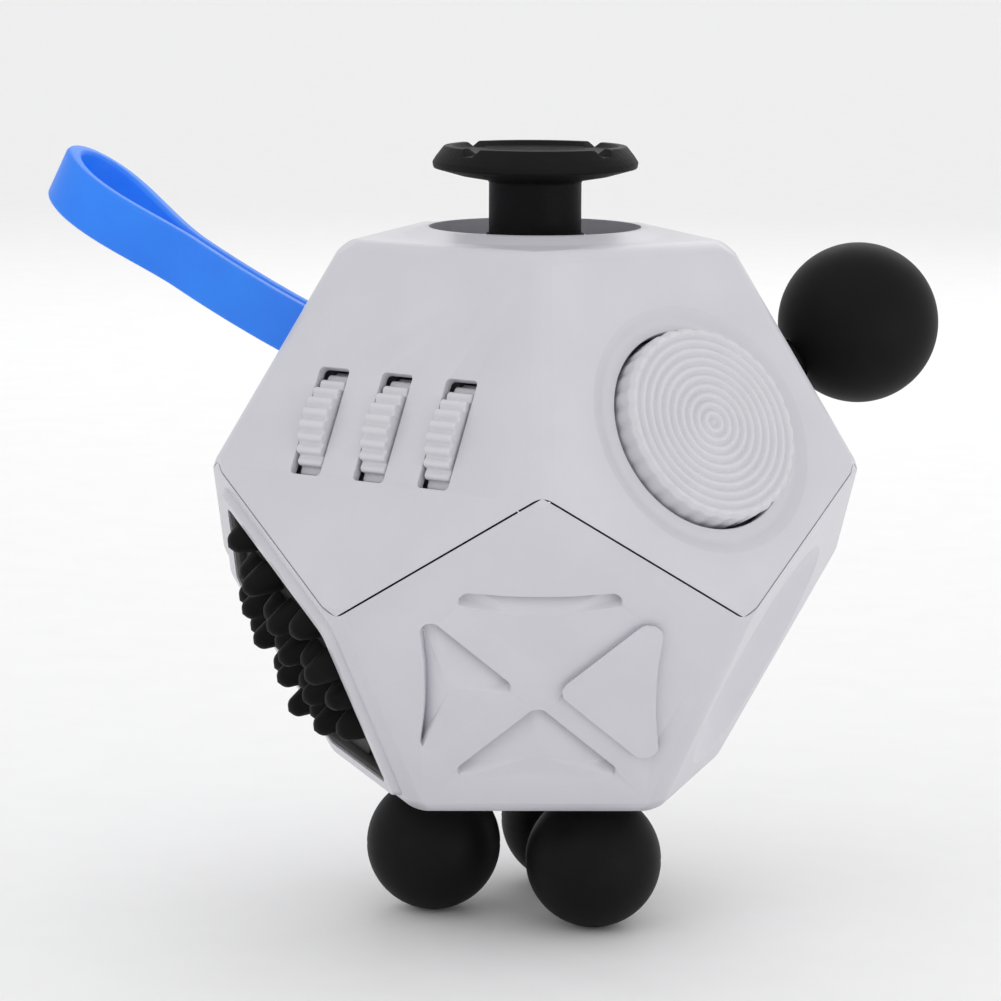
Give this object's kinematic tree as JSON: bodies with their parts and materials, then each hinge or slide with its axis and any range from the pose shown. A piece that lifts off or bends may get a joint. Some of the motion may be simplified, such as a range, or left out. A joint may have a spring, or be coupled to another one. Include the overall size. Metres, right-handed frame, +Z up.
{
  "type": "fidget cube",
  "caption": "Dodecahedral hand fidget toy with thumb stick, ridged rollers, rippled dial, lever ball, spiked pad, thumb dish, rocker, buttons, slider, strap loop and swivelling balls.",
  "frame": {"origin": "centre of the dodecahedral shell, which is also the volume centroid of the whole toy to within half a millimetre", "axes": "+Z up out of the thumb-stick face, -Y towards the lower face with the moulded cross, +X towards the lever ball"},
  "size_m": [0.085, 0.0606, 0.0719],
  "materials": {
    "shell_grey": "satin moulded plastic, light lavender grey",
    "trim_grey": "fine matt moulded plastic, slightly paler than the shell",
    "inner_grey": "plain moulded plastic",
    "black_plastic": "satin black moulded plastic",
    "black_rubber": "matt black rubber",
    "blue_silicone": "soft translucent blue silicone",
    "steel": "bright steel"
  },
  "bodies": {
    "root": {"upper_shell": "shell_grey", "lower_shell": "shell_grey", "shell_screw_1": "steel", "shell_screw_2": "steel", "shell_screw_3": "steel", "spiked_pad": "black_rubber", "joystick_housing": "inner_grey", "return_spring": "steel", "roller_carrier": "inner_grey", "roller_axle": "steel", "detent_comb": "steel", "dial_base": "inner_grey", "knob_socket": "inner_grey", "strap_anchor": "blue_silicone", "switch_housing": "inner_grey", "rocker_pin": "steel", "button_plate": "inner_grey", "slider_track": "inner_grey", "ball_pin_plate": "inner_grey"},
    "gimbal": {"gimbal_ring": "steel"},
    "stick": {"stick_carrier": "inner_grey", "joystick_dome": "trim_grey"},
    "cap": {"thumb_cap": "black_plastic"},
    "roller_1": {"roller_1": "trim_grey"},
    "roller_2": {"roller_2": "trim_grey"},
    "roller_3": {"roller_3": "trim_grey"},
    "dial": {"dial_disc": "trim_grey", "dial_washer": "steel", "dial_screw": "steel"},
    "knob_gimbal": {"knob_gimbal": "steel"},
    "knob_lever": {"knob_lever": "black_plastic"},
    "knob": {"ball_knob": "black_rubber"},
    "strap": {"strap_loop": "blue_silicone"},
    "rocker": {"rocker_switch": "black_plastic"},
    "button_1": {"button_1": "trim_grey"},
    "button_2": {"button_2": "trim_grey"},
    "button_3": {"button_3": "trim_grey"},
    "button_4": {"button_4": "trim_grey"},
    "button_5": {"button_5": "trim_grey"},
    "slider": {"slider_knob": "black_plastic"},
    "ball_1": {"bottom_ball_1": "black_rubber"},
    "ball_2": {"bottom_ball_2": "black_rubber"},
    "ball_3": {"bottom_ball_3": "black_rubber"}
  },
  "joints": [
    {"name": "stick_roll", "type": "hinge", "parent": "root", "child": "gimbal", "pos_m": [0, 0, 0.0185], "axis": [1, 0, 0], "range_deg": [-18, 18], "stiffness_Nm_per_rad": 0.04},
    {"name": "stick_pitch", "type": "hinge", "parent": "gimbal", "child": "stick", "pos_m": [0, 0, 0.0185], "axis": [0, 1, 0], "range_deg": [-18, 18], "stiffness_Nm_per_rad": 0.04},
    {"name": "cap_press", "type": "slide", "parent": "stick", "child": "cap", "axis": [0, 0, 1], "range_m": [-0.0008, 0], "stiffness_N_per_m": 1500},
    {"name": "roller_1_spin", "type": "hinge", "parent": "root", "child": "roller_1", "pos_m": [-0.01701, -0.01083, 0.00798], "axis": [0.809, -0.5878, 0], "continuous": true},
    {"name": "roller_2_spin", "type": "hinge", "parent": "root", "child": "roller_2", "pos_m": [-0.01135, -0.01494, 0.00798], "axis": [0.809, -0.5878, 0], "continuous": true},
    {"name": "roller_3_spin", "type": "hinge", "parent": "root", "child": "roller_3", "pos_m": [-0.00569, -0.01906, 0.00798], "axis": [0.809, -0.5878, 0], "continuous": true},
    {"name": "dial_spin", "type": "hinge", "parent": "root", "child": "dial", "pos_m": [0.01446, -0.01785, 0.01002], "axis": [0.5257, -0.7236, 0.4472], "continuous": true},
    {"name": "knob_side_tilt", "type": "hinge", "parent": "root", "child": "knob_gimbal", "pos_m": [0.01701, 0.00553, 0.00894], "axis": [-0.309, 0.9511, 0], "range_deg": [-11, 11], "stiffness_Nm_per_rad": 0.03},
    {"name": "knob_up_tilt", "type": "hinge", "parent": "knob_gimbal", "child": "knob_lever", "pos_m": [0.01701, 0.00553, 0.00894], "axis": [-0.4253, -0.1382, 0.8944], "range_deg": [-11, 11], "stiffness_Nm_per_rad": 0.03},
    {"name": "knob_spin", "type": "hinge", "parent": "knob_lever", "child": "knob", "pos_m": [0.0312, 0.01014, 0.0164], "axis": [0.8507, 0.2764, 0.4472], "continuous": true},
    {"name": "strap_flex", "type": "hinge", "parent": "root", "child": "strap", "pos_m": [-0.01854, 0.00602, 0.01422], "axis": [0.4253, -0.1382, 0.8944], "range_deg": [-25, 25], "stiffness_Nm_per_rad": 0.01},
    {"name": "rocker_tilt", "type": "hinge", "parent": "root", "child": "rocker", "pos_m": [0, 0.01932, 0.00966], "axis": [-1, 0, 0], "range_deg": [-10, 10]},
    {"name": "button_1_press", "type": "slide", "parent": "root", "child": "button_1", "axis": [0.5257, 0.7236, -0.4472], "range_m": [-0.001, 0], "stiffness_N_per_m": 800},
    {"name": "button_2_press", "type": "slide", "parent": "root", "child": "button_2", "axis": [0.5257, 0.7236, -0.4472], "range_m": [-0.001, 0], "stiffness_N_per_m": 800},
    {"name": "button_3_press", "type": "slide", "parent": "root", "child": "button_3", "axis": [0.5257, 0.7236, -0.4472], "range_m": [-0.001, 0], "stiffness_N_per_m": 800},
    {"name": "button_4_press", "type": "slide", "parent": "root", "child": "button_4", "axis": [0.5257, 0.7236, -0.4472], "range_m": [-0.001, 0], "stiffness_N_per_m": 800},
    {"name": "button_5_press", "type": "slide", "parent": "root", "child": "button_5", "axis": [0.5257, 0.7236, -0.4472], "range_m": [-0.001, 0], "stiffness_N_per_m": 800},
    {"name": "slider_slide", "type": "slide", "parent": "root", "child": "slider", "axis": [-0.809, -0.5878, 0], "range_m": [-0.0045, 0.0045]},
    {"name": "ball_1_spin", "type": "hinge", "parent": "root", "child": "ball_1", "pos_m": [-0.00923, -0.00113, -0.0318], "axis": [0, 0, 1], "continuous": true},
    {"name": "ball_2_spin", "type": "hinge", "parent": "root", "child": "ball_2", "pos_m": [0.0056, -0.00743, -0.0318], "axis": [0, 0, 1], "continuous": true},
    {"name": "ball_3_spin", "type": "hinge", "parent": "root", "child": "ball_3", "pos_m": [0.00363, 0.00856, -0.0318], "axis": [0, 0, 1], "continuous": true}
  ]
}
